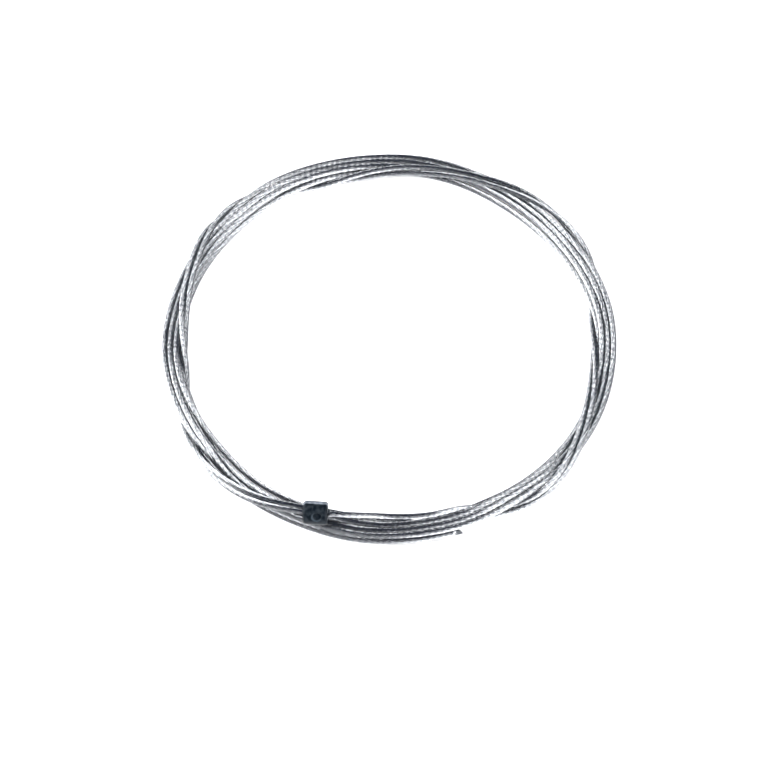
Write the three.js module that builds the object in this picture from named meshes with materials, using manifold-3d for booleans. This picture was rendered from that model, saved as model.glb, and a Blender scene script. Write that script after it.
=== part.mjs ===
// Bicycle shift inner cable, coiled as it comes from its packet.
// Millimetres, +Z up. The coil lies on the ground with its middle at the origin.
import * as THREE from 'three';
import * as BufferGeometryUtils from 'three/addons/utils/BufferGeometryUtils.js';
import Module from 'manifold-3d';

// The strand, and the gap between pieces that lie against each other
const STRAND_DIAMETER = 1.1;
const CLEARANCE = 0.3;

// The coil: its middle radius, and how many strands lie across it and on each other
const COIL_RADIUS = 41;
const STRANDS_ACROSS = 6;
const STRAND_LAYERS = 3;
const COIL_SHOULDER = 1.2;

// The cast head: a short barrel with a rounded cable end and a chamfered closed end
const HEAD_DIAMETER = 4.4;
const HEAD_LENGTH = 4.6;
const CABLE_END_ROUND = 0.5;
const CLOSED_END_CHAMFER = 0.4;

// The recess round the strand in the cable end, and the dished middle of the closed end
const RELIEF_DEPTH = 0.3;
const RELIEF_FLARE = 0.25;
const DISH_DIAMETER = 1.7;
const DISH_DEPTH = 0.25;

// The marks of the mould: a round ejector mark and the thin seam where its halves meet
const EJECTOR_DIAMETER = 2;
const EJECTOR_DEPTH = 0.34;
const EJECTOR_FROM_CABLE_END = 1.9;
const EJECTOR_ELEVATION = 38;
const SEAM_WIDTH = 0.22;
const SEAM_HEIGHT = 0.07;

// Route of the strand from the head down onto the coil: degrees round the coil, distance from
// the middle radius, and height as a share of the way up from lying on the coil to the head's axis
const LEAD_ROUTE = [
  [254.0, 0.33, 1],
  [255.8, 0.08, 1],
  [257.6, -0.18, 0.955],
  [259.3, -0.46, 0.86],
  [261.1, -0.75, 0.725],
  [263.0, -1.04, 0.565],
  [264.8, -1.29, 0.4],
  [266.7, -1.47, 0.245],
  [268.5, -1.58, 0.12],
  [270.4, -1.61, 0.045],
  [272.3, -1.58, 0.01],
  [274.2, -1.51, 0],
  [276.1, -1.45, 0],
  [278.0, -1.38, 0],
  [279.9, -1.31, 0],
  [281.8, -1.27, 0],
];

// Facets of the round forms
const COIL_SEGMENTS = 96;
const HEAD_SEGMENTS = 48;
const ARC_STEPS = 3;
const STRAND_SIDES = 8;
const LEAD_STEPS = 10;

// Sizes that follow from those above
const coilWidth = STRANDS_ACROSS * STRAND_DIAMETER;
const nestedLayer = STRAND_DIAMETER * Math.sin(Math.PI / 3);
const coilHeight = STRAND_DIAMETER + (STRAND_LAYERS - 1) * nestedLayer;
const headRadius = HEAD_DIAMETER / 2;
const headAxisHeight = coilHeight + CLEARANCE + headRadius;
const lyingHeight = coilHeight + CLEARANCE + STRAND_DIAMETER / 2;
const reliefRadius = STRAND_DIAMETER / 2 + CLEARANCE;

const steel = new THREE.MeshStandardMaterial({
  name: 'drawn stainless wire',
  color: 0xc4c7cc,
  roughness: 0.32,
  metalness: 1,
});
const casting = new THREE.MeshStandardMaterial({
  name: 'dark cast zinc alloy',
  color: 0x1b2027,
  roughness: 0.42,
  metalness: 0.8,
});

const wasm = await Module();
wasm.setup();

// A closed geometry as a solid that can be joined and cut
function toSolid(geometry) {
  const bare = geometry.clone();
  bare.deleteAttribute('normal');
  bare.deleteAttribute('uv');
  const merged = BufferGeometryUtils.mergeVertices(bare, 1e-4);
  const mesh = new wasm.Mesh({
    numProp: 3,
    vertProperties: new Float32Array(merged.attributes.position.array),
    triVerts: new Uint32Array(merged.index.array),
  });
  return new wasm.Manifold(mesh);
}

// The solid back as a geometry
function toGeometry(solid) {
  const mesh = solid.getMesh();
  const geometry = new THREE.BufferGeometry();
  geometry.setAttribute('position', new THREE.BufferAttribute(mesh.vertProperties, 3));
  geometry.setIndex(new THREE.BufferAttribute(mesh.triVerts, 1));
  geometry.computeVertexNormals();
  return geometry;
}

// A point of the lead's route in the part's own frame
function leadPoint([degrees, outward, rise]) {
  const angle = THREE.MathUtils.degToRad(degrees);
  const radius = COIL_RADIUS + outward;
  const height = THREE.MathUtils.lerp(lyingHeight, headAxisHeight, rise);
  return new THREE.Vector3(radius * Math.cos(angle), radius * Math.sin(angle), height);
}

const leadPoints = LEAD_ROUTE.map(leadPoint);

// The coil's outer shape: a ring, flat where it lies, its turns heaped towards the middle
function makeCoil() {
  const inner = COIL_RADIUS - coilWidth / 2;
  const outer = COIL_RADIUS + coilWidth / 2;
  const foot = STRAND_DIAMETER / 2;
  const shoulder = Math.min(COIL_SHOULDER, coilHeight - foot, coilWidth / 2);
  const top = coilHeight - shoulder;
  const outline = new THREE.Path();
  outline.moveTo(inner + foot, 0);
  outline.lineTo(outer - foot, 0);
  outline.absarc(outer - foot, foot, foot, -Math.PI / 2, 0, false);
  outline.absarc(outer - shoulder, top, shoulder, 0, Math.PI / 2, false);
  outline.absarc(inner + shoulder, top, shoulder, Math.PI / 2, Math.PI, false);
  outline.absarc(inner + foot, foot, foot, Math.PI, Math.PI * 1.5, false);
  const ring = new THREE.LatheGeometry(outline.getPoints(ARC_STEPS), COIL_SEGMENTS);
  ring.rotateX(Math.PI / 2);
  return ring;
}

// The strand between the head and the coil, a plain tube along its route
function makeLead() {
  const section = new THREE.Shape();
  const radius = STRAND_DIAMETER / 2;
  for (let side = 0; side < STRAND_SIDES; side += 1) {
    const angle = (side + 0.5) * (2 * Math.PI / STRAND_SIDES);
    const x = radius * Math.cos(angle);
    const y = radius * Math.sin(angle);
    if (side === 0) {
      section.moveTo(x, y);
    } else {
      section.lineTo(x, y);
    }
  }
  section.closePath();
  return new THREE.ExtrudeGeometry(section, {
    steps: LEAD_STEPS,
    bevelEnabled: false,
    extrudePath: new THREE.CatmullRomCurve3(leadPoints),
  });
}

// The barrel turned about its axis, cable end at the origin and facing +X
function makeBarrel() {
  const back = -HEAD_LENGTH;
  const outline = new THREE.Path();
  outline.moveTo(0, back + DISH_DEPTH);
  outline.lineTo(DISH_DIAMETER / 2, back);
  outline.lineTo(headRadius - CLOSED_END_CHAMFER, back);
  outline.lineTo(headRadius, back + CLOSED_END_CHAMFER);
  outline.lineTo(headRadius, -CABLE_END_ROUND);
  outline.absarc(headRadius - CABLE_END_ROUND, -CABLE_END_ROUND, CABLE_END_ROUND, 0, Math.PI / 2, false);
  outline.lineTo(reliefRadius + RELIEF_FLARE, 0);
  outline.lineTo(reliefRadius, -RELIEF_DEPTH);
  outline.lineTo(0, -RELIEF_DEPTH);
  const barrel = new THREE.LatheGeometry(outline.getPoints(ARC_STEPS), HEAD_SEGMENTS);
  barrel.rotateZ(-Math.PI / 2);
  return barrel;
}

// The casting: the barrel with the mould's seam along both sides and its ejector mark
function makeHead() {
  const ejectorTilt = THREE.MathUtils.degToRad(90 - EJECTOR_ELEVATION);

  const seamStart = -HEAD_LENGTH + CLOSED_END_CHAMFER;
  const seamEnd = -CABLE_END_ROUND;
  const seam = new THREE.BoxGeometry(seamEnd - seamStart, 2 * (headRadius + SEAM_HEIGHT), SEAM_WIDTH);
  seam.translate((seamStart + seamEnd) / 2, 0, 0);
  seam.rotateX(ejectorTilt);

  const proud = 1;
  const ejectorFloor = headRadius - EJECTOR_DEPTH;
  const radius = EJECTOR_DIAMETER / 2;
  const ejector = new THREE.CylinderGeometry(radius, radius, EJECTOR_DEPTH + proud, HEAD_SEGMENTS);
  ejector.rotateX(Math.PI / 2);
  ejector.translate(-EJECTOR_FROM_CABLE_END, 0, ejectorFloor + (EJECTOR_DEPTH + proud) / 2);
  ejector.rotateX(ejectorTilt);

  return toGeometry(toSolid(makeBarrel()).add(toSolid(seam)).subtract(toSolid(ejector)));
}

const cable = new THREE.Group();
cable.name = 'shift_cable';

const coil = new THREE.Mesh(makeCoil(), steel);
coil.name = 'cable_coil';
cable.add(coil);

const lead = new THREE.Mesh(makeLead(), steel);
lead.name = 'cable_lead';
cable.add(lead);

// The head sits on the strand's first stretch, its cable end where the strand comes out
const [exit, beyond] = leadPoints;
const head = new THREE.Mesh(makeHead(), casting);
head.name = 'cable_head';
head.position.copy(exit);
head.rotation.z = Math.atan2(beyond.y - exit.y, beyond.x - exit.x);
cable.add(head);

export default cable;
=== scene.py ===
# Bicycle shift inner cable, coiled, with its cast head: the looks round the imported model.
# Metres, +Z up, in the model's frame. The coil lies on the ground with its middle at the origin.
import math

import bmesh
import bpy
import numpy as np
from mathutils import Matrix, Vector


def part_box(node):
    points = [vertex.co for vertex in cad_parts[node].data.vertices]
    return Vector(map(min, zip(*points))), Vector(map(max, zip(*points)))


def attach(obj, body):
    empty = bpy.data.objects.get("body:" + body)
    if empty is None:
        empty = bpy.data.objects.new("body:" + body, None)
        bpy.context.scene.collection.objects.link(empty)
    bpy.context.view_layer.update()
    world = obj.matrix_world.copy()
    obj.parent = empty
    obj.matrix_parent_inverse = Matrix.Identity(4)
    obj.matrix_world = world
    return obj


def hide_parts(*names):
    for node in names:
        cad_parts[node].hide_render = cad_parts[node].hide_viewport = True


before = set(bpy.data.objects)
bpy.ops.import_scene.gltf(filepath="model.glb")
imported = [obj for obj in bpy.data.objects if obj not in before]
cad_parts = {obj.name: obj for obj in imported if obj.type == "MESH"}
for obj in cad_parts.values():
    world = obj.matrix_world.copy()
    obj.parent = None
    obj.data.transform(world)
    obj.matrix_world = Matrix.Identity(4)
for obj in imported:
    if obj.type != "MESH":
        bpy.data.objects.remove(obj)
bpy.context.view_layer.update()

MM = 0.001

# The strand: one core wire, six round it and twelve outside. Every second outer wire sits a little
# deeper, in the valley between two of the six. The surface has four points round each outer wire,
# and a ring of them at each step
STRAND_DIAMETER = 1.1 * MM
WIRE_DIAMETER = 0.22 * MM
INNER_WIRES = 6
OUTER_WIRES = 12
POINTS_A_WIRE = 4
WIRE_FLANK = math.radians(52)
DEEPER_WIRES = 0.012 * MM
LAY_LENGTH = 12.2 * MM
RING_STEP = 1.08 * MM

# The cut end: how far its wires run on past the strand's surface, how long they are and how much of
# that lies inside the strand, how slanted the cut is, and how far each circle of wires spreads
CUT_REACH = 0.35 * MM
CUT_STUB = 1.6 * MM
CUT_STUB_INSIDE = 0.6 * MM
CUT_SLANT = 0.8
CUT_WIRE_SIDES = 10
INNER_SPREAD = 0.012
OUTER_SPREAD = 0.025

# The coil of the model, and what rides on it
COIL_RADIUS = 41 * MM
CLEARANCE = 0.3 * MM
coil_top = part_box("cable_coil")[1][2]

# The cast head. Each step of its dish sinks by a share of the depth and narrows the floor
HEAD_DIAMETER = 4.4 * MM
HEAD_LENGTH = 4.6 * MM
CABLE_END_ROUND = 0.5 * MM
CABLE_END_ROUND_STEPS = 6
CLOSED_END_CHAMFER = 0.4 * MM
RELIEF_DEPTH = 0.3 * MM
RELIEF_FLARE = 0.25 * MM
DISH_DIAMETER = 1.7 * MM
DISH_DEPTH = 0.25 * MM
DISH_STEPS = ((0.7, 0.6), (0.3, 0.3))
EJECTOR_DIAMETER = 2 * MM
EJECTOR_FLOOR_DIAMETER = 1.45 * MM
EJECTOR_DEPTH = 0.34 * MM
EJECTOR_FROM_CABLE_END = 1.9 * MM
EJECTOR_ELEVATION = math.radians(38)
EJECTOR_SIDES = 40
EJECTOR_PROUD = 1 * MM
SEAM_HEIGHT = 0.07 * MM
HEAD_SIDES = 64
SOFT_EDGE = 0.06 * MM
SOFT_EDGE_ANGLE = math.radians(28)
SMOOTH_ANGLE = math.radians(30)
relief_radius = STRAND_DIAMETER / 2 + CLEARANCE
head_axis_height = coil_top + CLEARANCE + HEAD_DIAMETER / 2
lying_height = coil_top + CLEARANCE + STRAND_DIAMETER / 2

# Route of the strand from the head down onto the coil: degrees round the coil, distance from the
# middle radius in millimetres, and height as a share of the way up from lying on the coil to the
# head's axis
LEAD_ROUTE = (
    (254.0, 0.33, 1),
    (255.8, 0.08, 1),
    (257.6, -0.18, 0.955),
    (259.3, -0.46, 0.86),
    (261.1, -0.75, 0.725),
    (263.0, -1.04, 0.565),
    (264.8, -1.29, 0.4),
    (266.7, -1.47, 0.245),
    (268.5, -1.58, 0.12),
    (270.4, -1.61, 0.045),
    (272.3, -1.58, 0.01),
    (274.2, -1.51, 0),
    (276.1, -1.45, 0),
    (278.0, -1.38, 0),
    (279.9, -1.31, 0),
    (281.8, -1.27, 0),
)

# The winding. The strand runs anticlockwise from the head; places on the coil are degrees
# clockwise from +X, so they fall as the strand goes on
HEAD_PLACE = 106
CUT_PLACE = 72
TURNS = 8
WRAP_TURNS = 2
STATIONS_A_TURN = 120
station_step = 360 / STATIONS_A_TURN

# The first two turns wrap the others. At these places they lie at the inner side, on top, at the
# outer side and underneath, over and over, four laps of the bundle in one turn of the coil. The
# second lies behind the first by the lag, and the first laps of the strand have places of their own
WRAP_PLACES = (5, 29, 50, 72, 100, 122, 146, 166, 183, 210, 226, 243, 265, 303, 326, 344)
PLACES_A_LAP = 4
LOWEST_OF_LAP = 0.75
WRAP_LAG = 0.085
FIRST_WRAP = ((29, 0.25), (47, 0.5), (58, 0.75), (70, 1.0), (78.2, 1.1))

# The way of a wrap round the bundle's section, a round-cornered box, in strand diameters: to its
# inner and outer side when pressed together, how much further when loose, and up from the ground
WRAP_INNER, WRAP_INNER_LOOSE = 1.65, 0.25
WRAP_OUTER, WRAP_OUTER_LOOSE = 1.95, 0.35
WRAP_LOWEST, WRAP_HIGHEST = 0.5, 2.32
WRAP_SQUARENESS = 2.6

# Degrees over which the strand goes from its lead into the first wrap, and from the last wrap into
# the first of the other turns, and the degrees before the end of the wraps where that starts
LEAD_TO_WRAP = 22
WRAP_TO_SLOT = 30
WRAP_TO_SLOT_EARLY = 20

# How the other turns lie at each place: how loose, from 0, pressed together, to 1, and how far
# they are pushed outwards, in strand diameters
BUNDLE = (
    (0, 0.35, 0.2),
    (10, 0.3, 0.2),
    (27, 0.1, 0.2),
    (35, 0.2, 0),
    (50, 0.7, 0),
    (62, 0.7, 0.2),
    (74, 0.7, 0.4),
    (92, 0.7, 0.35),
    (102, 0.9, -0.05),
    (112, 0.9, -0.4),
    (122, 0.9, -0.2),
    (146, 1, 0),
    (160, 0.9, 0.2),
    (176, 0.3, 0.4),
    (192, 0, 0),
    (208, 0, 0),
    (222, 0.5, 0.1),
    (240, 1, 0.5),
    (256, 0.9, 0.2),
    (272, 0.4, 0.7),
    (288, 0.6, 0.5),
    (304, 1, -0.1),
    (322, 1, -0.1),
    (336, 0.9, -0.1),
    (352, 0.2, 0.3),
)

# Where turn after turn lies in the bundle's section, in strand diameters from the middle radius,
# and in which layer, when pressed together and when loose
TIGHT_SLOTS = ((-0.75, 1), (-1.25, 0), (-0.25, 0), (0.25, 1), (1.25, 1), (0.75, 0), (1.77, 0))
LOOSE_SLOTS = ((-1.05, 1), (-1.9, 0), (-0.55, 0), (0, 1), (1.07, 1), (0.55, 0), (1.6, 0))

# A turn goes over into the next slot late in its round: where that starts, and over which share
SLOT_CHANGE_START = 0.8
SLOT_CHANGE_SHARE = 0.17

# The other turns rise where the wraps pass underneath: by how many strand diameters, how many laps
# from the wrap's lowest point that starts, and over how many laps it goes on
RISE = 0.91
RISE_START = 0.3
RISE_OVER = 0.2

# How the winding settles, round by round, first freely and then closely: the pull back to the plan,
# the stiffness against bends, the push between turns that meet, and the distance that they keep
SETTLING_ROUNDS = 600
FREE_SHARE = 0.7
FREE_PULL, CLOSE_PULL = 0.02, 0.003
FREE_STIFFNESS, CLOSE_STIFFNESS = 0.05, 0.015
PUSH_APART = 0.45
TURN_SPACING = 1.03 * STRAND_DIAMETER

# Steps of the smooth curve between two points that it goes through
CURVE_STEPS = 8


def smooth_step(x):
    """0 below 0, 1 above 1, and a smooth rise between."""
    x = np.clip(x, 0, 1)
    return x * x * (3 - 2 * x)


def eased(values_at, places, reach=6, samples=7):
    """The values at the places, each averaged over the stretch round it."""
    shifts = np.linspace(-reach, reach, samples)
    return np.mean([values_at(places + shift) for shift in shifts], axis=0)


def laps_at(places):
    """Laps of the wrap round the bundle, rising with the place."""
    keys = np.array(WRAP_PLACES + (WRAP_PLACES[0] + 360,)) - WRAP_PLACES[0]
    laps = np.arange(len(keys)) / PLACES_A_LAP
    turns, rest = np.divmod(places - WRAP_PLACES[0], 360)
    return laps[-1] * turns + np.interp(rest, keys, laps)


def looseness_at(places):
    """How loose the bundle is at the places."""
    keys, looseness, _ = np.array(BUNDLE, float).T
    return np.interp(places, keys, looseness, period=360)


def push_at(places):
    """How far the bundle is pushed outwards at the places, in strand diameters."""
    keys, _, push = np.array(BUNDLE, float).T
    return np.interp(places, keys, push, period=360)


def wrap_section(laps, looseness):
    """Where the wrap lies in the bundle's section: distance from the middle radius, and height."""
    angle = np.pi - 2 * np.pi * laps
    across, up = np.cos(angle), np.sin(angle)
    power = WRAP_SQUARENESS
    size = (np.abs(across) ** power + np.abs(up) ** power) ** (1 / power)
    inner = WRAP_INNER + WRAP_INNER_LOOSE * looseness
    outer = WRAP_OUTER + WRAP_OUTER_LOOSE * looseness
    half_width = np.where(across < 0, inner, outer)
    low, high = WRAP_LOWEST * STRAND_DIAMETER, WRAP_HIGHEST * STRAND_DIAMETER
    height = (low + high) / 2 + (high - low) / 2 * up / size
    return half_width * STRAND_DIAMETER * across / size, height


def slot_section(slots, looseness):
    """Where the other turns lie in the bundle's section, for slot numbers with fractions."""
    tight, loose = np.array(TIGHT_SLOTS), np.array(LOOSE_SLOTS)
    first = np.clip(np.floor(slots).astype(int), 0, len(tight) - 2)
    share = (slots - first)[:, None]
    mix = looseness[:, None]
    here = (1 - mix) * tight[first] + mix * loose[first]
    there = (1 - mix) * tight[first + 1] + mix * loose[first + 1]
    across, layer = ((1 - share) * here + share * there).T
    nested = STRAND_DIAMETER * math.sin(math.pi / 3)
    return across * STRAND_DIAMETER, STRAND_DIAMETER / 2 + layer * nested


def planned_sections(travel, lead_travel, lead_across, lead_height):
    """The winding before it settles: the strand's place in the bundle's section at each station."""
    places = HEAD_PLACE - travel
    looseness = eased(looseness_at, places)
    laps = eased(laps_at, places)
    first_places, first_laps = np.array(FIRST_WRAP).T
    on_first = travel < HEAD_PLACE - FIRST_WRAP[0][0]
    own_laps = np.where(on_first, np.interp(places, first_places, first_laps), laps)
    lag = WRAP_LAG * np.clip(travel / 360, 0, WRAP_TURNS) - WRAP_LAG / 2
    across, height = wrap_section(own_laps + lag, looseness)

    # The strand comes down from the head onto the bundle and goes over into the first wrap
    landed = smooth_step((travel - lead_travel[-1]) / LEAD_TO_WRAP)
    across = (1 - landed) * np.interp(travel, lead_travel, lead_across) + landed * across
    height = (1 - landed) * np.interp(travel, lead_travel, lead_height) + landed * height

    # The other turns give way to the wraps: aside, and upwards where the wraps pass underneath
    turns = np.maximum(travel / 360 - WRAP_TURNS, 0)
    whole = np.floor(turns)
    changed = smooth_step((turns - whole - SLOT_CHANGE_START) / SLOT_CHANGE_SHARE)
    slots = np.clip(whole + changed, 0, len(TIGHT_SLOTS) - 1)
    slot_across, slot_height = slot_section(slots, looseness)
    slot_across += STRAND_DIAMETER * eased(push_at, places)
    from_lowest = np.abs(np.mod(laps, 1) - LOWEST_OF_LAP)
    risen = smooth_step((RISE_START - from_lowest) / RISE_OVER)
    slot_height += RISE * STRAND_DIAMETER * risen

    laid = smooth_step((travel - WRAP_TURNS * 360 + WRAP_TO_SLOT_EARLY) / WRAP_TO_SLOT)
    across = (1 - laid) * across + laid * slot_across
    return across, (1 - laid) * height + laid * slot_height


def settled_sections(across, height, held):
    """The winding after it settles: bends even out, and turns that meet push each other aside."""
    planned_across, planned_height = across.copy(), height.copy()
    held_across, held_height = across[:held].copy(), height[:held].copy()
    for step in range(SETTLING_ROUNDS):
        free = step < FREE_SHARE * SETTLING_ROUNDS
        pull = FREE_PULL if free else CLOSE_PULL
        stiffness = FREE_STIFFNESS if free else CLOSE_STIFFNESS
        across += pull * (planned_across - across)
        height += pull / 2 * (planned_height - height)
        for values in (across, height):
            bend = np.zeros_like(values)
            bend[2:-2] = (
                values[:-4] - 4 * values[1:-3] + 6 * values[2:-2] - 4 * values[3:-1] + values[4:]
            )
            values -= stiffness * bend
        aside, upward = np.zeros_like(across), np.zeros_like(height)
        for turns_apart in range(1, TURNS + 1):
            gap = turns_apart * STATIONS_A_TURN
            across_gap = across[gap:] - across[:-gap]
            height_gap = height[gap:] - height[:-gap]
            distance = np.hypot(across_gap, height_gap) + 1e-9
            push = PUSH_APART * np.clip(TURN_SPACING - distance, 0, None) / distance
            aside[gap:] += across_gap * push
            aside[:-gap] -= across_gap * push
            upward[gap:] += height_gap * push
            upward[:-gap] -= height_gap * push
        across += aside
        height += upward
        height[:] = np.maximum(height, STRAND_DIAMETER / 2)
        across[:held], height[:held] = held_across, held_height
    return across, height


def coil_points(degrees, across, height):
    """Points from degrees anticlockwise, distance from the middle radius, and height."""
    angle = np.radians(degrees)
    radius = COIL_RADIUS + across
    return np.stack([radius * np.cos(angle), radius * np.sin(angle), height], axis=1)


def curve_through(points, spacing):
    """Points evenly spaced along a smooth curve through the given ones."""
    padded = np.vstack([2 * points[0] - points[1], points, 2 * points[-1] - points[-2]])
    before, start, end, after = padded[:-3], padded[1:-2], padded[2:-1], padded[3:]
    steps = []
    for step in range(1, CURVE_STEPS + 1):
        t = step / CURVE_STEPS
        steps.append(
            0.5
            * (
                2 * start
                + (end - before) * t
                + (2 * before - 5 * start + 4 * end - after) * t**2
                + (3 * start - before - 3 * end + after) * t**3
            )
        )
    fine = np.vstack([points[:1], np.stack(steps, axis=1).reshape(-1, 3)])
    along = np.concatenate([[0], np.cumsum(np.linalg.norm(np.diff(fine, axis=0), axis=1))])
    count = round(along[-1] / spacing)
    wanted = np.linspace(0, along[-1], count + 1)
    return np.stack([np.interp(wanted, along, fine[:, axis]) for axis in range(3)], axis=1)


def strand_route():
    """The line of the strand from inside the head to the cut end, and the point where it leaves."""
    lead_degrees, lead_outward, lead_rise = np.array(LEAD_ROUTE, float).T
    lead_across = lead_outward * MM
    lead_height = lying_height + lead_rise * (head_axis_height - lying_height)
    lead = coil_points(lead_degrees, lead_across, lead_height)

    travel = np.arange(0, TURNS * 360 + HEAD_PLACE - CUT_PLACE + 0.1, station_step)
    lead_travel = lead_degrees - lead_degrees[0]
    across, height = planned_sections(travel, lead_travel, lead_across, lead_height)
    held = int(lead_travel[-1] // station_step) + 1
    across, height = settled_sections(across, height, held)
    wound = coil_points(lead_degrees[0] + travel[held:], across[held:], height[held:])

    into_head = lead[0] - lead[1]
    start = lead[0] + into_head / np.linalg.norm(into_head) * 2 * RELIEF_DEPTH
    return curve_through(np.vstack([start, lead, wound]), RING_STEP), lead


# Camera and cord first. The camera stands as it did for the photograph: in front, 58 degrees up
CAMERA_DISTANCE = 0.8
CAMERA_ELEVATION = math.radians(58.27)
CAMERA_TARGET = Vector((-1.025, -8.256, 0)) * MM
CAMERA_FOCAL_LENGTH = 198.2
CAMERA_CLIP_START = 0.01


def make_camera():
    data = bpy.data.cameras.new("camera")
    data.lens = CAMERA_FOCAL_LENGTH
    data.clip_start = CAMERA_CLIP_START
    camera = bpy.data.objects.new("camera", data)
    back = Vector((0, -math.cos(CAMERA_ELEVATION), math.sin(CAMERA_ELEVATION)))
    camera.location = CAMERA_TARGET + CAMERA_DISTANCE * back
    camera.rotation_euler = back.to_track_quat("Z", "Y").to_euler()
    bpy.context.scene.collection.objects.link(camera)
    bpy.context.scene.camera = camera


def strand_axes(route):
    """Unit vectors along the strand, to its side and over it, at each point of its route."""
    along = np.gradient(route, axis=0)
    along /= np.linalg.norm(along, axis=1)[:, None]
    side = np.cross([0, 0, 1], along)
    side /= np.linalg.norm(side, axis=1)[:, None]
    return along, side, np.cross(along, side)


def wire_profile():
    """Radius and direction of the points round the strand: a wire's groove, flank, crest, flank."""
    proud_circle = (STRAND_DIAMETER - WIRE_DIAMETER) / 2
    pitch = 2 * math.pi / OUTER_WIRES
    radii, directions = [], []
    for wire in range(OUTER_WIRES):
        wire_circle = proud_circle - (wire % 2) * DEEPER_WIRES
        radii.append((proud_circle - DEEPER_WIRES) * math.cos(pitch / 2))
        directions.append((wire - 0.5) * pitch)
        for bend in (-WIRE_FLANK, 0, WIRE_FLANK):
            outward = wire_circle + WIRE_DIAMETER / 2 * math.cos(bend)
            aside = WIRE_DIAMETER / 2 * math.sin(bend)
            radii.append(math.hypot(outward, aside))
            directions.append(wire * pitch + math.atan2(aside, outward))
    return np.array(radii), np.array(directions)


def make_strand(route):
    """The strand's surface: a round ridge for each outer wire, twisted along the route."""
    radii, directions = wire_profile()
    sides = len(radii)
    along, side, over = strand_axes(route)
    rings = len(route)
    ring_numbers = np.arange(rings)
    twist = 2 * np.pi * ring_numbers * RING_STEP / LAY_LENGTH
    angle = twist[:, None] + directions[None, :]
    vertices = (
        route[:, None, :]
        + (radii * np.cos(angle))[:, :, None] * side[:, None, :]
        + (radii * np.sin(angle))[:, :, None] * over[:, None, :]
    ).reshape(-1, 3)

    ring = np.arange(rings - 1)[:, None] * sides
    this = np.arange(sides)[None, :]
    following = (this + 1) % sides
    after = ring + sides
    corners = [ring + this, ring + following, after + following, after + this]
    faces = np.stack(corners, axis=2).reshape(-1, 4).tolist()
    last = (rings - 1) * sides
    faces.append(list(range(sides - 1, -1, -1)))
    faces.append(list(range(last, last + sides)))

    mesh = bpy.data.meshes.new("strand")
    mesh.from_pydata(vertices.tolist(), [], faces)
    mesh.update()
    mesh.polygons.foreach_set("use_smooth", [True] * len(mesh.polygons))

    # Each wire is shaded round by itself, so the lines where wires meet stay sharp
    edge_points = np.zeros(2 * len(mesh.edges), dtype=np.int64)
    mesh.edges.foreach_get("vertices", edge_points)
    in_groove = (edge_points.reshape(-1, 2) % POINTS_A_WIRE == 0).all(axis=1)
    sharp = mesh.attributes.new("sharp_edge", "BOOLEAN", "EDGE")
    sharp.data.foreach_set("value", in_groove)

    # The map runs along the strand in millimetres, and round it by wires
    wire_map = mesh.uv_layers.new(name="wire_map")
    row = np.arange(rings - 1)[:, None] + np.zeros((1, sides))
    column = np.arange(sides)[None, :] + np.zeros((rings - 1, 1))
    lengthwise = np.stack([row, row, row + 1, row + 1], axis=2).reshape(-1)
    crosswise = np.stack([column, column + 1, column + 1, column], axis=2).reshape(-1)
    ends_map = np.zeros(2 * sides)
    uv = np.stack(
        [
            np.concatenate([lengthwise * RING_STEP / MM, ends_map]),
            np.concatenate([crosswise / POINTS_A_WIRE, ends_map]),
        ],
        axis=1,
    )
    wire_map.data.foreach_set("uv", uv.reshape(-1).astype(np.float32))

    strand = bpy.data.objects.new("strand", mesh)
    bpy.context.scene.collection.objects.link(strand)
    return strand


def deselect_all():
    bpy.ops.object.select_all(action="DESELECT")


def make_cut_end(route):
    """The nineteen wires that show where the strand was cut off at a slant, a little spread."""
    along, side, over = strand_axes(route)
    way, across, up = Vector(along[-1]), Vector(side[-1]), Vector(over[-1])
    deselect_all()
    bpy.ops.mesh.primitive_cylinder_add(
        vertices=CUT_WIRE_SIDES, radius=WIRE_DIAMETER / 2, depth=CUT_STUB
    )
    wire = bpy.context.active_object
    wire.name = "cut_end"
    circles = (
        (0, 1, 0),
        (WIRE_DIAMETER, INNER_WIRES, INNER_SPREAD),
        (2 * WIRE_DIAMETER, OUTER_WIRES, OUTER_SPREAD),
    )
    wires = []
    for radius, count, spread in circles:
        for number in range(count):
            angle = 2 * math.pi * (number + 0.5) / count
            out = math.cos(angle) * across + math.sin(angle) * up
            turn = Vector((0, 0, 1)).rotation_difference(way + spread * out)
            copy = wire.copy()
            copy.data = wire.data.copy()
            bpy.context.scene.collection.objects.link(copy)
            middle = Vector(route[-1]) + out * radius + way * (CUT_STUB / 2 - CUT_STUB_INSIDE)
            copy.data.transform(Matrix.Translation(middle) @ turn.to_matrix().to_4x4())
            wires.append(copy)
    bpy.data.objects.remove(wire)
    for piece in wires:
        piece.select_set(True)
    bpy.context.view_layer.objects.active = wires[0]
    bpy.ops.object.join()
    cut_end = bpy.context.active_object
    cut_end.name = "cut_end"
    bpy.ops.object.mode_set(mode="EDIT")
    bpy.ops.mesh.select_all(action="SELECT")
    slant = (way + CUT_SLANT * across).normalized()
    cut_at = Vector(route[-1]) + way * CUT_REACH
    bpy.ops.mesh.bisect(plane_co=cut_at, plane_no=slant, use_fill=True, clear_outer=True)
    bpy.ops.object.mode_set(mode="OBJECT")
    return cut_end


make_camera()
route, lead = strand_route()
strand = make_strand(route)
cut_end = make_cut_end(route)
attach(strand, "root")
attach(cut_end, "root")
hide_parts("cable_coil", "cable_lead")


# The head, cast round the strand's first stretch: its axis runs along the strand
exit_point = Vector(lead[0])
cable_way = (Vector(lead[1]) - exit_point).normalized()
head_heading = math.atan2(cable_way.y, cable_way.x)
ejector_way = Vector(
    (
        math.sin(head_heading) * math.cos(EJECTOR_ELEVATION),
        -math.cos(head_heading) * math.cos(EJECTOR_ELEVATION),
        math.sin(EJECTOR_ELEVATION),
    )
)
seam_way = cable_way.cross(ejector_way)

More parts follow.
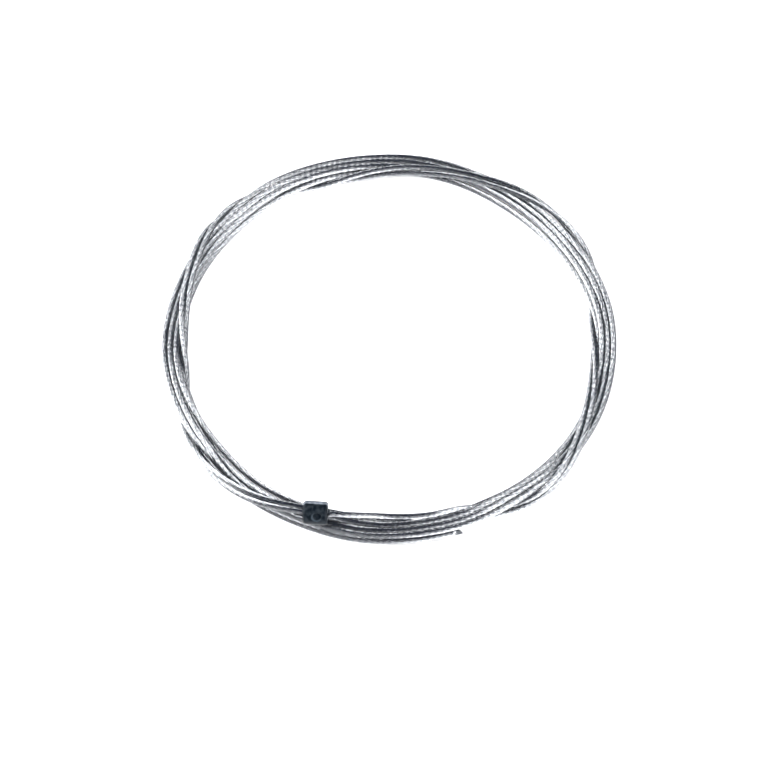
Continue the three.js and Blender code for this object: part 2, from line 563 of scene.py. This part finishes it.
# How closely a face looks along the axis to belong to an end of the head
END_FACING = 0.9


def with_nothing_selected(piece):
    """The mesh of the piece in edit mode, with nothing selected."""
    edited = bmesh.from_edit_mesh(piece.data)
    for item in (*edited.verts, *edited.edges, *edited.faces):
        item.select_set(False)
    return edited


def select_faces(piece, wanted):
    """Select the faces that pass the test, and no others, in edit mode."""
    edited = with_nothing_selected(piece)
    for face in edited.faces:
        if wanted(face):
            face.select_set(True)
    edited.select_flush_mode()
    bmesh.update_edit_mesh(piece.data)


def select_edges(piece, wanted):
    """Select the edges that pass the test, and no others, in edit mode."""
    edited = with_nothing_selected(piece)
    for edge in edited.edges:
        if wanted(edge):
            edge.select_set(True)
    bmesh.update_edit_mesh(piece.data)


def from_cable_end(point):
    """How far along the head's axis a point lies from its cable end, towards the closed end."""
    return (exit_point - point).dot(cable_way)


def from_axis(point):
    """How far a point lies from the head's axis."""
    offset = point - exit_point
    return (offset - offset.dot(cable_way) * cable_way).length


def faces_cable(face):
    """Whether a face looks the way of the strand, as the cable end does."""
    return face.normal.dot(cable_way) > END_FACING


def faces_back(face):
    """Whether a face looks away from the strand, as the closed end does."""
    return face.normal.dot(cable_way) < -END_FACING


def in_recess(face):
    """Whether a face lies round the strand in the cable end."""
    return faces_cable(face) and from_axis(face.calc_center_median()) < relief_radius / 2


def in_dish(face):
    """Whether a face lies in the middle of the closed end."""
    return faces_back(face) and from_axis(face.calc_center_median()) < DISH_DIAMETER / 4


def on_rim(edge, depth):
    """Whether an edge lies on the head's side, at a depth from its cable end."""
    tolerance = CLEARANCE / 10
    return all(
        abs(from_cable_end(corner.co) - depth) < tolerance
        and from_axis(corner.co) > HEAD_DIAMETER / 2 - tolerance
        for corner in edge.verts
    )


def sink(piece, wanted, depth, scale, middle):
    """Push the faces that pass the test into the head by a depth, and scale their outline."""
    select_faces(piece, wanted)
    way = (middle - exit_point).dot(cable_way)
    inwards = -cable_way if way > -HEAD_LENGTH / 2 else cable_way
    bpy.ops.mesh.extrude_region_move(TRANSFORM_OT_translate={"value": inwards * depth})
    bpy.ops.transform.resize(value=(scale,) * 3, center_override=middle + inwards * depth)


def make_head():
    head_radius = HEAD_DIAMETER / 2
    closed_end = exit_point - HEAD_LENGTH * cable_way
    middle = exit_point - HEAD_LENGTH / 2 * cable_way
    deselect_all()
    bpy.ops.mesh.primitive_cylinder_add(
        vertices=HEAD_SIDES,
        radius=head_radius,
        depth=HEAD_LENGTH,
        location=middle,
        rotation=(0, math.pi / 2, head_heading),
    )
    head = bpy.context.active_object
    head.name = "head_casting"
    bpy.ops.object.transform_apply()
    bpy.ops.object.mode_set(mode="EDIT")
    bpy.ops.mesh.select_mode(type="FACE")

    # The recess round the strand
    select_faces(head, faces_cable)
    bpy.ops.mesh.inset(thickness=head_radius - relief_radius - RELIEF_FLARE)
    floor_scale = relief_radius / (relief_radius + RELIEF_FLARE)
    sink(head, in_recess, RELIEF_DEPTH, floor_scale, exit_point)

    # The dished middle of the closed end
    select_faces(head, faces_back)
    bpy.ops.mesh.inset(thickness=head_radius - DISH_DIAMETER / 2)
    dish_floor = closed_end
    for share, narrowing in DISH_STEPS:
        sink(head, in_dish, share * DISH_DEPTH, narrowing, dish_floor)
        dish_floor = dish_floor + share * DISH_DEPTH * cable_way

    # The rounded rim of the cable end and the chamfered one of the closed end
    bpy.ops.mesh.select_mode(type="EDGE")
    select_edges(head, lambda edge: on_rim(edge, 0))
    bpy.ops.mesh.bevel(offset=CABLE_END_ROUND, segments=CABLE_END_ROUND_STEPS)
    select_edges(head, lambda edge: on_rim(edge, HEAD_LENGTH))
    bpy.ops.mesh.bevel(offset=CLOSED_END_CHAMFER, segments=1)

    # The seam where the mould's halves meet, a thin ridge along both sides
    bpy.ops.mesh.select_mode(type="FACE")
    half_face = math.cos(math.pi / HEAD_SIDES)
    select_faces(head, lambda face: abs(face.normal.dot(seam_way)) > half_face)
    bpy.ops.mesh.extrude_region_shrink_fatten(TRANSFORM_OT_shrink_fatten={"value": SEAM_HEIGHT})
    bpy.ops.object.mode_set(mode="OBJECT")

    # The round mark of the ejector pin, its wall sloping in to the floor
    deselect_all()
    pin_length = EJECTOR_PROUD + EJECTOR_DEPTH
    wall_slope = (EJECTOR_DIAMETER - EJECTOR_FLOOR_DIAMETER) / 2 / EJECTOR_DEPTH
    bpy.ops.mesh.primitive_cone_add(
        vertices=EJECTOR_SIDES,
        radius1=EJECTOR_FLOOR_DIAMETER / 2,
        radius2=EJECTOR_DIAMETER / 2 + EJECTOR_PROUD * wall_slope,
        depth=pin_length,
    )
    pin = bpy.context.active_object
    pin_floor = head_radius - EJECTOR_DEPTH
    pin_middle = (
        exit_point
        - EJECTOR_FROM_CABLE_END * cable_way
        + (pin_floor + pin_length / 2) * ejector_way
    )
    turn = Vector((0, 0, 1)).rotation_difference(ejector_way)
    pin.data.transform(Matrix.Translation(pin_middle) @ turn.to_matrix().to_4x4())
    deselect_all()
    head.select_set(True)
    bpy.context.view_layer.objects.active = head
    cut = head.modifiers.new("ejector_mark", "BOOLEAN")
    cut.operation = "DIFFERENCE"
    cut.solver = "EXACT"
    cut.object = pin
    bpy.ops.object.modifier_apply(modifier=cut.name)
    bpy.data.objects.remove(pin)

    soften = head.modifiers.new("soft_edges", "BEVEL")
    soften.width = SOFT_EDGE
    soften.segments = 2
    soften.limit_method = "ANGLE"
    soften.angle_limit = SOFT_EDGE_ANGLE
    bpy.ops.object.modifier_apply(modifier=soften.name)
    bpy.ops.object.shade_smooth_by_angle(angle=SMOOTH_ANGLE)
    return head


head = make_head()
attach(head, "root")
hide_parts("cable_head")


# Tones of the drawn wires, from the dullest to the brightest, the deeper wires' darker as painted
# shade, of the painted shade in the grooves between them, and of the clouds over them all. The
# groove's painted shade ends at a share of its wire's width. Painted glints in beads, with painted
# shade between them, run along the strand at the pitch where the outer wires cross the six beneath
PROUD_WIRE_TONE = ((0.37, 0.374, 0.38), (0.56, 0.562, 0.565))
DEEPER_WIRE_SHADE_TONE = ((0.29, 0.296, 0.305), (0.47, 0.474, 0.48))
GROOVE_SHADE_TONE = (0.035, 0.039, 0.046)
BEAD_GLINT_PITCH = 1.03 * MM
BEAD_GLINT_TONE = (0.7, 0.715, 0.735)
BEAD_GLINT_CLOUDS = 250
WIRE_CLOUDS = 400
CLOUD_TONE = (0.72, 0.73, 0.75)
GROOVE_FLOOR, GROOVE_TOP = 0.03, 0.26
WIRE_ROUGHNESS = (0.12, 0.32)
WIRE_MARKS = (0.35, 5, 1)
PLAIN = (1, 1, 1)

# The cut wires, dull, their dark tone painted shade
CUT_WIRE_SHADE_TONES = ((0.03, 0.034, 0.04), (0.13, 0.135, 0.145))
CUT_WIRE_ROUGHNESS = (0.3, 0.5)
CUT_WIRE_CLOUDS = 3000

# The casting: its tones and roughness from the dark clouds to the lighter ones, and how strongly it
# mirrors. Its bumps have a depth each
CASTING_TONES = ((0.0015, 0.0032, 0.0055), (0.011, 0.0145, 0.018))
CASTING_ROUGHNESS = (0.32, 0.5)
CASTING_CLOUDS = 1400
CASTING_CONTRAST = (0.35, 0.68)
CASTING_METAL = 0.1
CASTING_MIRROR = 0.06
GRAIN_CLOUDS, GRAIN_DEPTH = 5000, 0.03 * MM
LUMP_CLOUDS, LUMP_DEPTH = 1700, 0.12 * MM
BUMP_STRENGTH = 0.5

# Painted highlights on the head, lighter tones beside its upper seam and on the wall of the ejector
# mark. The seam's strip has its middle in front of the seam, is full and gone at two distances from
# there, and is patchy. The wall's painted highlight grows towards its lower side, away from the
# strand
SEAM_HIGHLIGHT_TONE = (0.17, 0.19, 0.22)
MARK_WALL_HIGHLIGHT_TONE = (0.019, 0.026, 0.033)
SEAM_HIGHLIGHT_MIDDLE, SEAM_HIGHLIGHT_FULL, SEAM_HIGHLIGHT_NONE = 0.42 * MM, 0.2 * MM, 0.42 * MM
SEAM_HIGHLIGHT_SHARE = (0.45, 1)
LIT_WALL_FROM, LIT_WALL_TO = -0.7 * MM, 1.1 * MM

# The table, white and a little uneven
TABLE_TONES = ((0.92, 0.92, 0.92), (0.95, 0.95, 0.95))
TABLE_ROUGHNESS = 0.7
TABLE_CLOUDS = 40
TABLE_SIZE = 6


class Finish:
    """A material with its nodes, made one by one."""

    def __init__(self, name):
        self.material = bpy.data.materials.new(name)
        self.material.use_nodes = True
        self.nodes = self.material.node_tree.nodes
        self.links = self.material.node_tree.links
        self.surface = self.nodes["Principled BSDF"]

    def add(self, kind, inputs=None, **settings):
        node = self.nodes.new(kind)
        for name, value in settings.items():
            setattr(node, name, value)
        for name, value in (inputs or {}).items():
            if isinstance(value, bpy.types.NodeSocket):
                self.links.new(value, node.inputs[name])
            else:
                node.inputs[name].default_value = value
        return node

    def blend(self, factor, low, high):
        """A colour between two, by a factor from 0 to 1."""
        ramp = self.add("ShaderNodeValToRGB", {"Fac": factor})
        ramp.color_ramp.elements[0].color = (*low, 1)
        ramp.color_ramp.elements[1].color = (*high, 1)
        return ramp

    def spread(self, value, low, high):
        """A value from 0 to 1 taken to a range of its own."""
        return self.add("ShaderNodeMapRange", {"Value": value, "To Min": low, "To Max": high})

    def smooth(self, value, low, high):
        """A value taken smoothly from a range of its own to 0 to 1."""
        return self.add(
            "ShaderNodeMapRange",
            {"Value": value, "From Min": low, "From Max": high},
            interpolation_type="SMOOTHSTEP",
        )

    def clouds(self, place, scale, detail):
        """Soft clouds from 0 to 1, with their number to a metre as the scale."""
        return self.add("ShaderNodeTexNoise", {"Vector": place, "Scale": scale, "Detail": detail})

    def tint(self, colour, by):
        """A colour darkened by another."""
        return self.add(
            "ShaderNodeMixRGB", {"Fac": 1.0, "Color1": colour, "Color2": by}, blend_type="MULTIPLY"
        )

    def set_colour(self, node):
        self.links.new(node.outputs[0], self.surface.inputs["Base Color"])

    def set_roughness(self, node):
        self.links.new(node.outputs[0], self.surface.inputs["Roughness"])


def finish_strand():
    finish = Finish("drawn_steel_strand")
    wires = finish.add("ShaderNodeUVMap", uv_map="wire_map")
    spot = finish.add("ShaderNodeSeparateXYZ", {"Vector": wires.outputs["UV"]})
    number = finish.add("ShaderNodeMath", {0: spot.outputs["Y"]}, operation="FLOOR")
    own = finish.add("ShaderNodeTexWhiteNoise", {"W": number.outputs[0]}, noise_dimensions="1D")
    every_second = finish.add(
        "ShaderNodeMath", {0: number.outputs[0], 1: 2.0}, operation="MODULO"
    )

    # How far across its wire a point lies: 0 in the grooves, 1 on the crest
    share = finish.add("ShaderNodeMath", {0: spot.outputs["Y"], 1: 0.5}, operation="PINGPONG")
    depth = finish.smooth(share.outputs[0], GROOVE_FLOOR, GROOVE_TOP)

    place = finish.add("ShaderNodeTexCoord")
    stretched = finish.add(
        "ShaderNodeMapping", {"Vector": wires.outputs["UV"], "Scale": WIRE_MARKS}
    )
    marks = finish.clouds(stretched.outputs[0], 1, 3)
    clouds = finish.clouds(place.outputs["Object"], WIRE_CLOUDS, 3)
    proud = finish.blend(own.outputs["Value"], *PROUD_WIRE_TONE)
    deeper_shaded = finish.blend(own.outputs["Value"], *DEEPER_WIRE_SHADE_TONE)
    # Every second wire, the deeper one, takes the darker tone as painted shade
    tone = finish.add(
        "ShaderNodeMixRGB",
        {"Fac": every_second.outputs[0], "Color1": proud.outputs[0], "Color2": deeper_shaded.outputs[0]},
    )
    cloudy = finish.blend(clouds.outputs["Fac"], CLOUD_TONE, PLAIN)
    clouded = finish.tint(tone.outputs[0], cloudy.outputs[0])

    # Painted glints, with painted shade between them, in beads: a wave along the strand, moved on
    # by one as it goes once round, and uneven
    uneven = finish.clouds(place.outputs["Object"], BEAD_GLINT_CLOUDS, 1)
    moved = finish.add(
        "ShaderNodeMath",
        {0: spot.outputs["Y"], 1: 1 / OUTER_WIRES, 2: uneven.outputs["Fac"]},
        operation="MULTIPLY_ADD",
    )
    wave = finish.add(
        "ShaderNodeMath",
        {0: spot.outputs["X"], 1: MM / BEAD_GLINT_PITCH, 2: moved.outputs[0]},
        operation="MULTIPLY_ADD",
    )
    swell = finish.add("ShaderNodeMath", {0: wave.outputs[0], 1: 0.5}, operation="PINGPONG")
    crest = finish.smooth(swell.outputs[0], 0, 0.5)
    bead_glints = finish.blend(crest.outputs[0], BEAD_GLINT_TONE, PLAIN)
    bead_glinted = finish.tint(clouded.outputs[0], bead_glints.outputs[0])
    # Painted shade in the grooves: the dark groove tone where a point lies near the groove's floor
    shaded = finish.add(
        "ShaderNodeMixRGB",
        {"Fac": depth.outputs[0], "Color1": (*GROOVE_SHADE_TONE, 1), "Color2": bead_glinted.outputs[0]},
    )
    finish.set_colour(shaded)
    finish.surface.inputs["Metallic"].default_value = 1
    finish.set_roughness(finish.spread(marks.outputs["Fac"], *WIRE_ROUGHNESS))
    return finish.material


def finish_cut_wires():
    finish = Finish("shaded_cut_wire_ends")
    place = finish.add("ShaderNodeTexCoord")
    clouds = finish.clouds(place.outputs["Object"], CUT_WIRE_CLOUDS, 3)
    finish.set_colour(finish.blend(clouds.outputs["Fac"], *CUT_WIRE_SHADE_TONES))
    finish.set_roughness(finish.spread(clouds.outputs["Fac"], *CUT_WIRE_ROUGHNESS))
    finish.surface.inputs["Metallic"].default_value = 1
    return finish.material


def finish_head():
    finish = Finish("dark_cast_zinc")
    surface = finish.surface
    place = finish.add("ShaderNodeTexCoord")
    clouds = finish.clouds(place.outputs["Object"], CASTING_CLOUDS, 5)
    grain = finish.clouds(place.outputs["Object"], GRAIN_CLOUDS, 4)
    lumps = finish.clouds(place.outputs["Object"], LUMP_CLOUDS, 2)
    contrast = finish.smooth(clouds.outputs["Fac"], *CASTING_CONTRAST)
    colour = finish.blend(contrast.outputs[0], *CASTING_TONES)

    # Places on the head, from the point of its axis that lies under the ejector mark
    mark_middle = exit_point - EJECTOR_FROM_CABLE_END * cable_way
    offset = finish.add(
        "ShaderNodeVectorMath", {0: place.outputs["Object"], 1: mark_middle}, operation="SUBTRACT"
    )

    def reach(way):
        """How far a point lies from there in a direction."""
        node = finish.add(
            "ShaderNodeVectorMath", {0: offset.outputs[0], 1: way}, operation="DOT_PRODUCT"
        )
        return node.outputs["Value"]

    def both(first, second):
        """The product of two factors."""
        return finish.add("ShaderNodeMath", {0: first, 1: second}, operation="MULTIPLY").outputs[0]

    def band(value, middle, full, none):
        """1 near a middle value, falling to 0 between two distances from it."""
        away = finish.add("ShaderNodeMath", {0: value, 1: middle}, operation="SUBTRACT")
        distance = finish.add("ShaderNodeMath", {0: away.outputs[0]}, operation="ABSOLUTE")
        limits = {"From Min": full, "From Max": none, "To Min": 1.0, "To Max": 0.0}
        return finish.add("ShaderNodeMapRange", {"Value": distance.outputs[0], **limits}).outputs[0]

    # Painted highlight: a patchy lighter strip beside the upper seam, on the upper side only
    above = reach(ejector_way)
    upper = finish.add("ShaderNodeMath", {0: reach(seam_way), 1: 0.0}, operation="LESS_THAN")
    strip = band(above, SEAM_HIGHLIGHT_MIDDLE, SEAM_HIGHLIGHT_FULL, SEAM_HIGHLIGHT_NONE)
    seam_highlight = both(strip, upper.outputs[0])
    seam_highlight = both(seam_highlight, finish.spread(contrast.outputs[0], *SEAM_HIGHLIGHT_SHARE).outputs[0])
    # Painted highlight on the wall of the ejector mark, growing towards its lower side, away from
    # the strand
    aside = finish.add(
        "ShaderNodeVectorMath", {0: offset.outputs[0], 1: ejector_way}, operation="CROSS_PRODUCT"
    )
    from_mark = finish.add("ShaderNodeVectorMath", {0: aside.outputs[0]}, operation="LENGTH")
    wall_middle = (EJECTOR_DIAMETER + EJECTOR_FLOOR_DIAMETER) / 4
    wall_half = (EJECTOR_DIAMETER - EJECTOR_FLOOR_DIAMETER) / 4
    on_wall = band(from_mark.outputs["Value"], wall_middle, wall_half, 1.5 * wall_half)
    facing = finish.add("ShaderNodeMath", {0: above, 1: 0.0}, operation="GREATER_THAN")
    lit_side = finish.add(
        "ShaderNodeMapRange",
        {"Value": reach(seam_way - cable_way), "From Min": LIT_WALL_FROM, "From Max": LIT_WALL_TO},
    )
    on_wall = both(both(on_wall, facing.outputs[0]), lit_side.outputs[0])
    wall_highlighted = finish.add(
        "ShaderNodeMixRGB",
        {"Fac": on_wall, "Color1": colour.outputs[0], "Color2": (*MARK_WALL_HIGHLIGHT_TONE, 1)},
    )
    seam_highlighted = finish.add(
        "ShaderNodeMixRGB",
        {"Fac": seam_highlight, "Color1": wall_highlighted.outputs[0], "Color2": (*SEAM_HIGHLIGHT_TONE, 1)},
    )
    finish.set_colour(seam_highlighted)
    finish.set_roughness(finish.spread(contrast.outputs[0], *CASTING_ROUGHNESS))
    surface.inputs["Metallic"].default_value = CASTING_METAL
    surface.inputs["Specular IOR Level"].default_value = CASTING_MIRROR
    fine = finish.add(
        "ShaderNodeBump",
        {"Height": grain.outputs["Fac"], "Strength": BUMP_STRENGTH, "Distance": GRAIN_DEPTH},
    )
    cast = finish.add(
        "ShaderNodeBump",
        {
            "Height": lumps.outputs["Fac"],
            "Strength": BUMP_STRENGTH,
            "Distance": LUMP_DEPTH,
            "Normal": fine.outputs[0],
        },
    )
    finish.links.new(cast.outputs[0], surface.inputs["Normal"])
    return finish.material


def finish_floor():
    finish = Finish("white_table")
    place = finish.add("ShaderNodeTexCoord")
    clouds = finish.clouds(place.outputs["Object"], TABLE_CLOUDS, 3)
    finish.set_colour(finish.blend(clouds.outputs["Fac"], *TABLE_TONES))
    finish.surface.inputs["Roughness"].default_value = TABLE_ROUGHNESS
    return finish.material


strand.data.materials.append(finish_strand())
cut_end.data.materials.clear()
cut_end.data.materials.append(finish_cut_wires())
head.data.materials.append(finish_head())


def make_floor():
    deselect_all()
    bpy.ops.mesh.primitive_plane_add(size=TABLE_SIZE)
    floor = bpy.context.active_object
    floor.name = "table"
    floor.data.materials.append(finish_floor())


# The studio: soft boxes on a dome round the table, and the dim room behind them. Each box has its
# name, degrees round from +X, degrees up, width and height in metres, and watts. Which boxes there
# are and their watts come from a least-squares fit to the photograph's brightness round the coil,
# by a program of its own; the watts were then rounded, or raised a little, by hand
DOME_RADIUS = 1.6
ROOM_TONE = (0.012, 0.032, 0.085)
SOFT_BOXES = (
    ("left_low_box", 180, 14, 1.2, 0.75, 27),
    ("left_box", 180, 41, 1.1, 0.75, 45),
    ("back_left_box", 135, 41, 1.1, 0.75, 22),
    ("right_box", 0, 41, 1.1, 0.75, 24),
    ("front_right_box", 315, 41, 1.1, 0.75, 16),
    ("front_right_low_box", 315, 14, 1.2, 0.75, 40),
    ("top_right_box", 330, 66, 0.8, 0.75, 5),
)


def soft_box(name, azimuth, elevation, width, height, power):
    """A flat lamp on the dome, turned to the middle of the table."""
    way = Vector((1, 0, 0))
    way.rotate(Matrix.Rotation(-math.radians(elevation), 3, "Y"))
    way.rotate(Matrix.Rotation(math.radians(azimuth), 3, "Z"))
    data = bpy.data.lights.new(name, "AREA")
    data.shape = "RECTANGLE"
    data.size, data.size_y = width, height
    data.energy = power
    lamp = bpy.data.objects.new(name, data)
    lamp.location = way * DOME_RADIUS
    lamp.rotation_euler = way.to_track_quat("Z", "Y").to_euler()
    bpy.context.scene.collection.objects.link(lamp)


def make_studio():
    for row in SOFT_BOXES:
        soft_box(*row)
    world = bpy.data.worlds.new("studio")
    world.use_nodes = True
    background = world.node_tree.nodes["Background"]
    background.inputs["Color"].default_value = (*ROOM_TONE, 1)
    background.inputs["Strength"].default_value = 1
    scene = bpy.context.scene
    scene.world = world
    scene.view_settings.view_transform = "Standard"


make_floor()
make_studio()
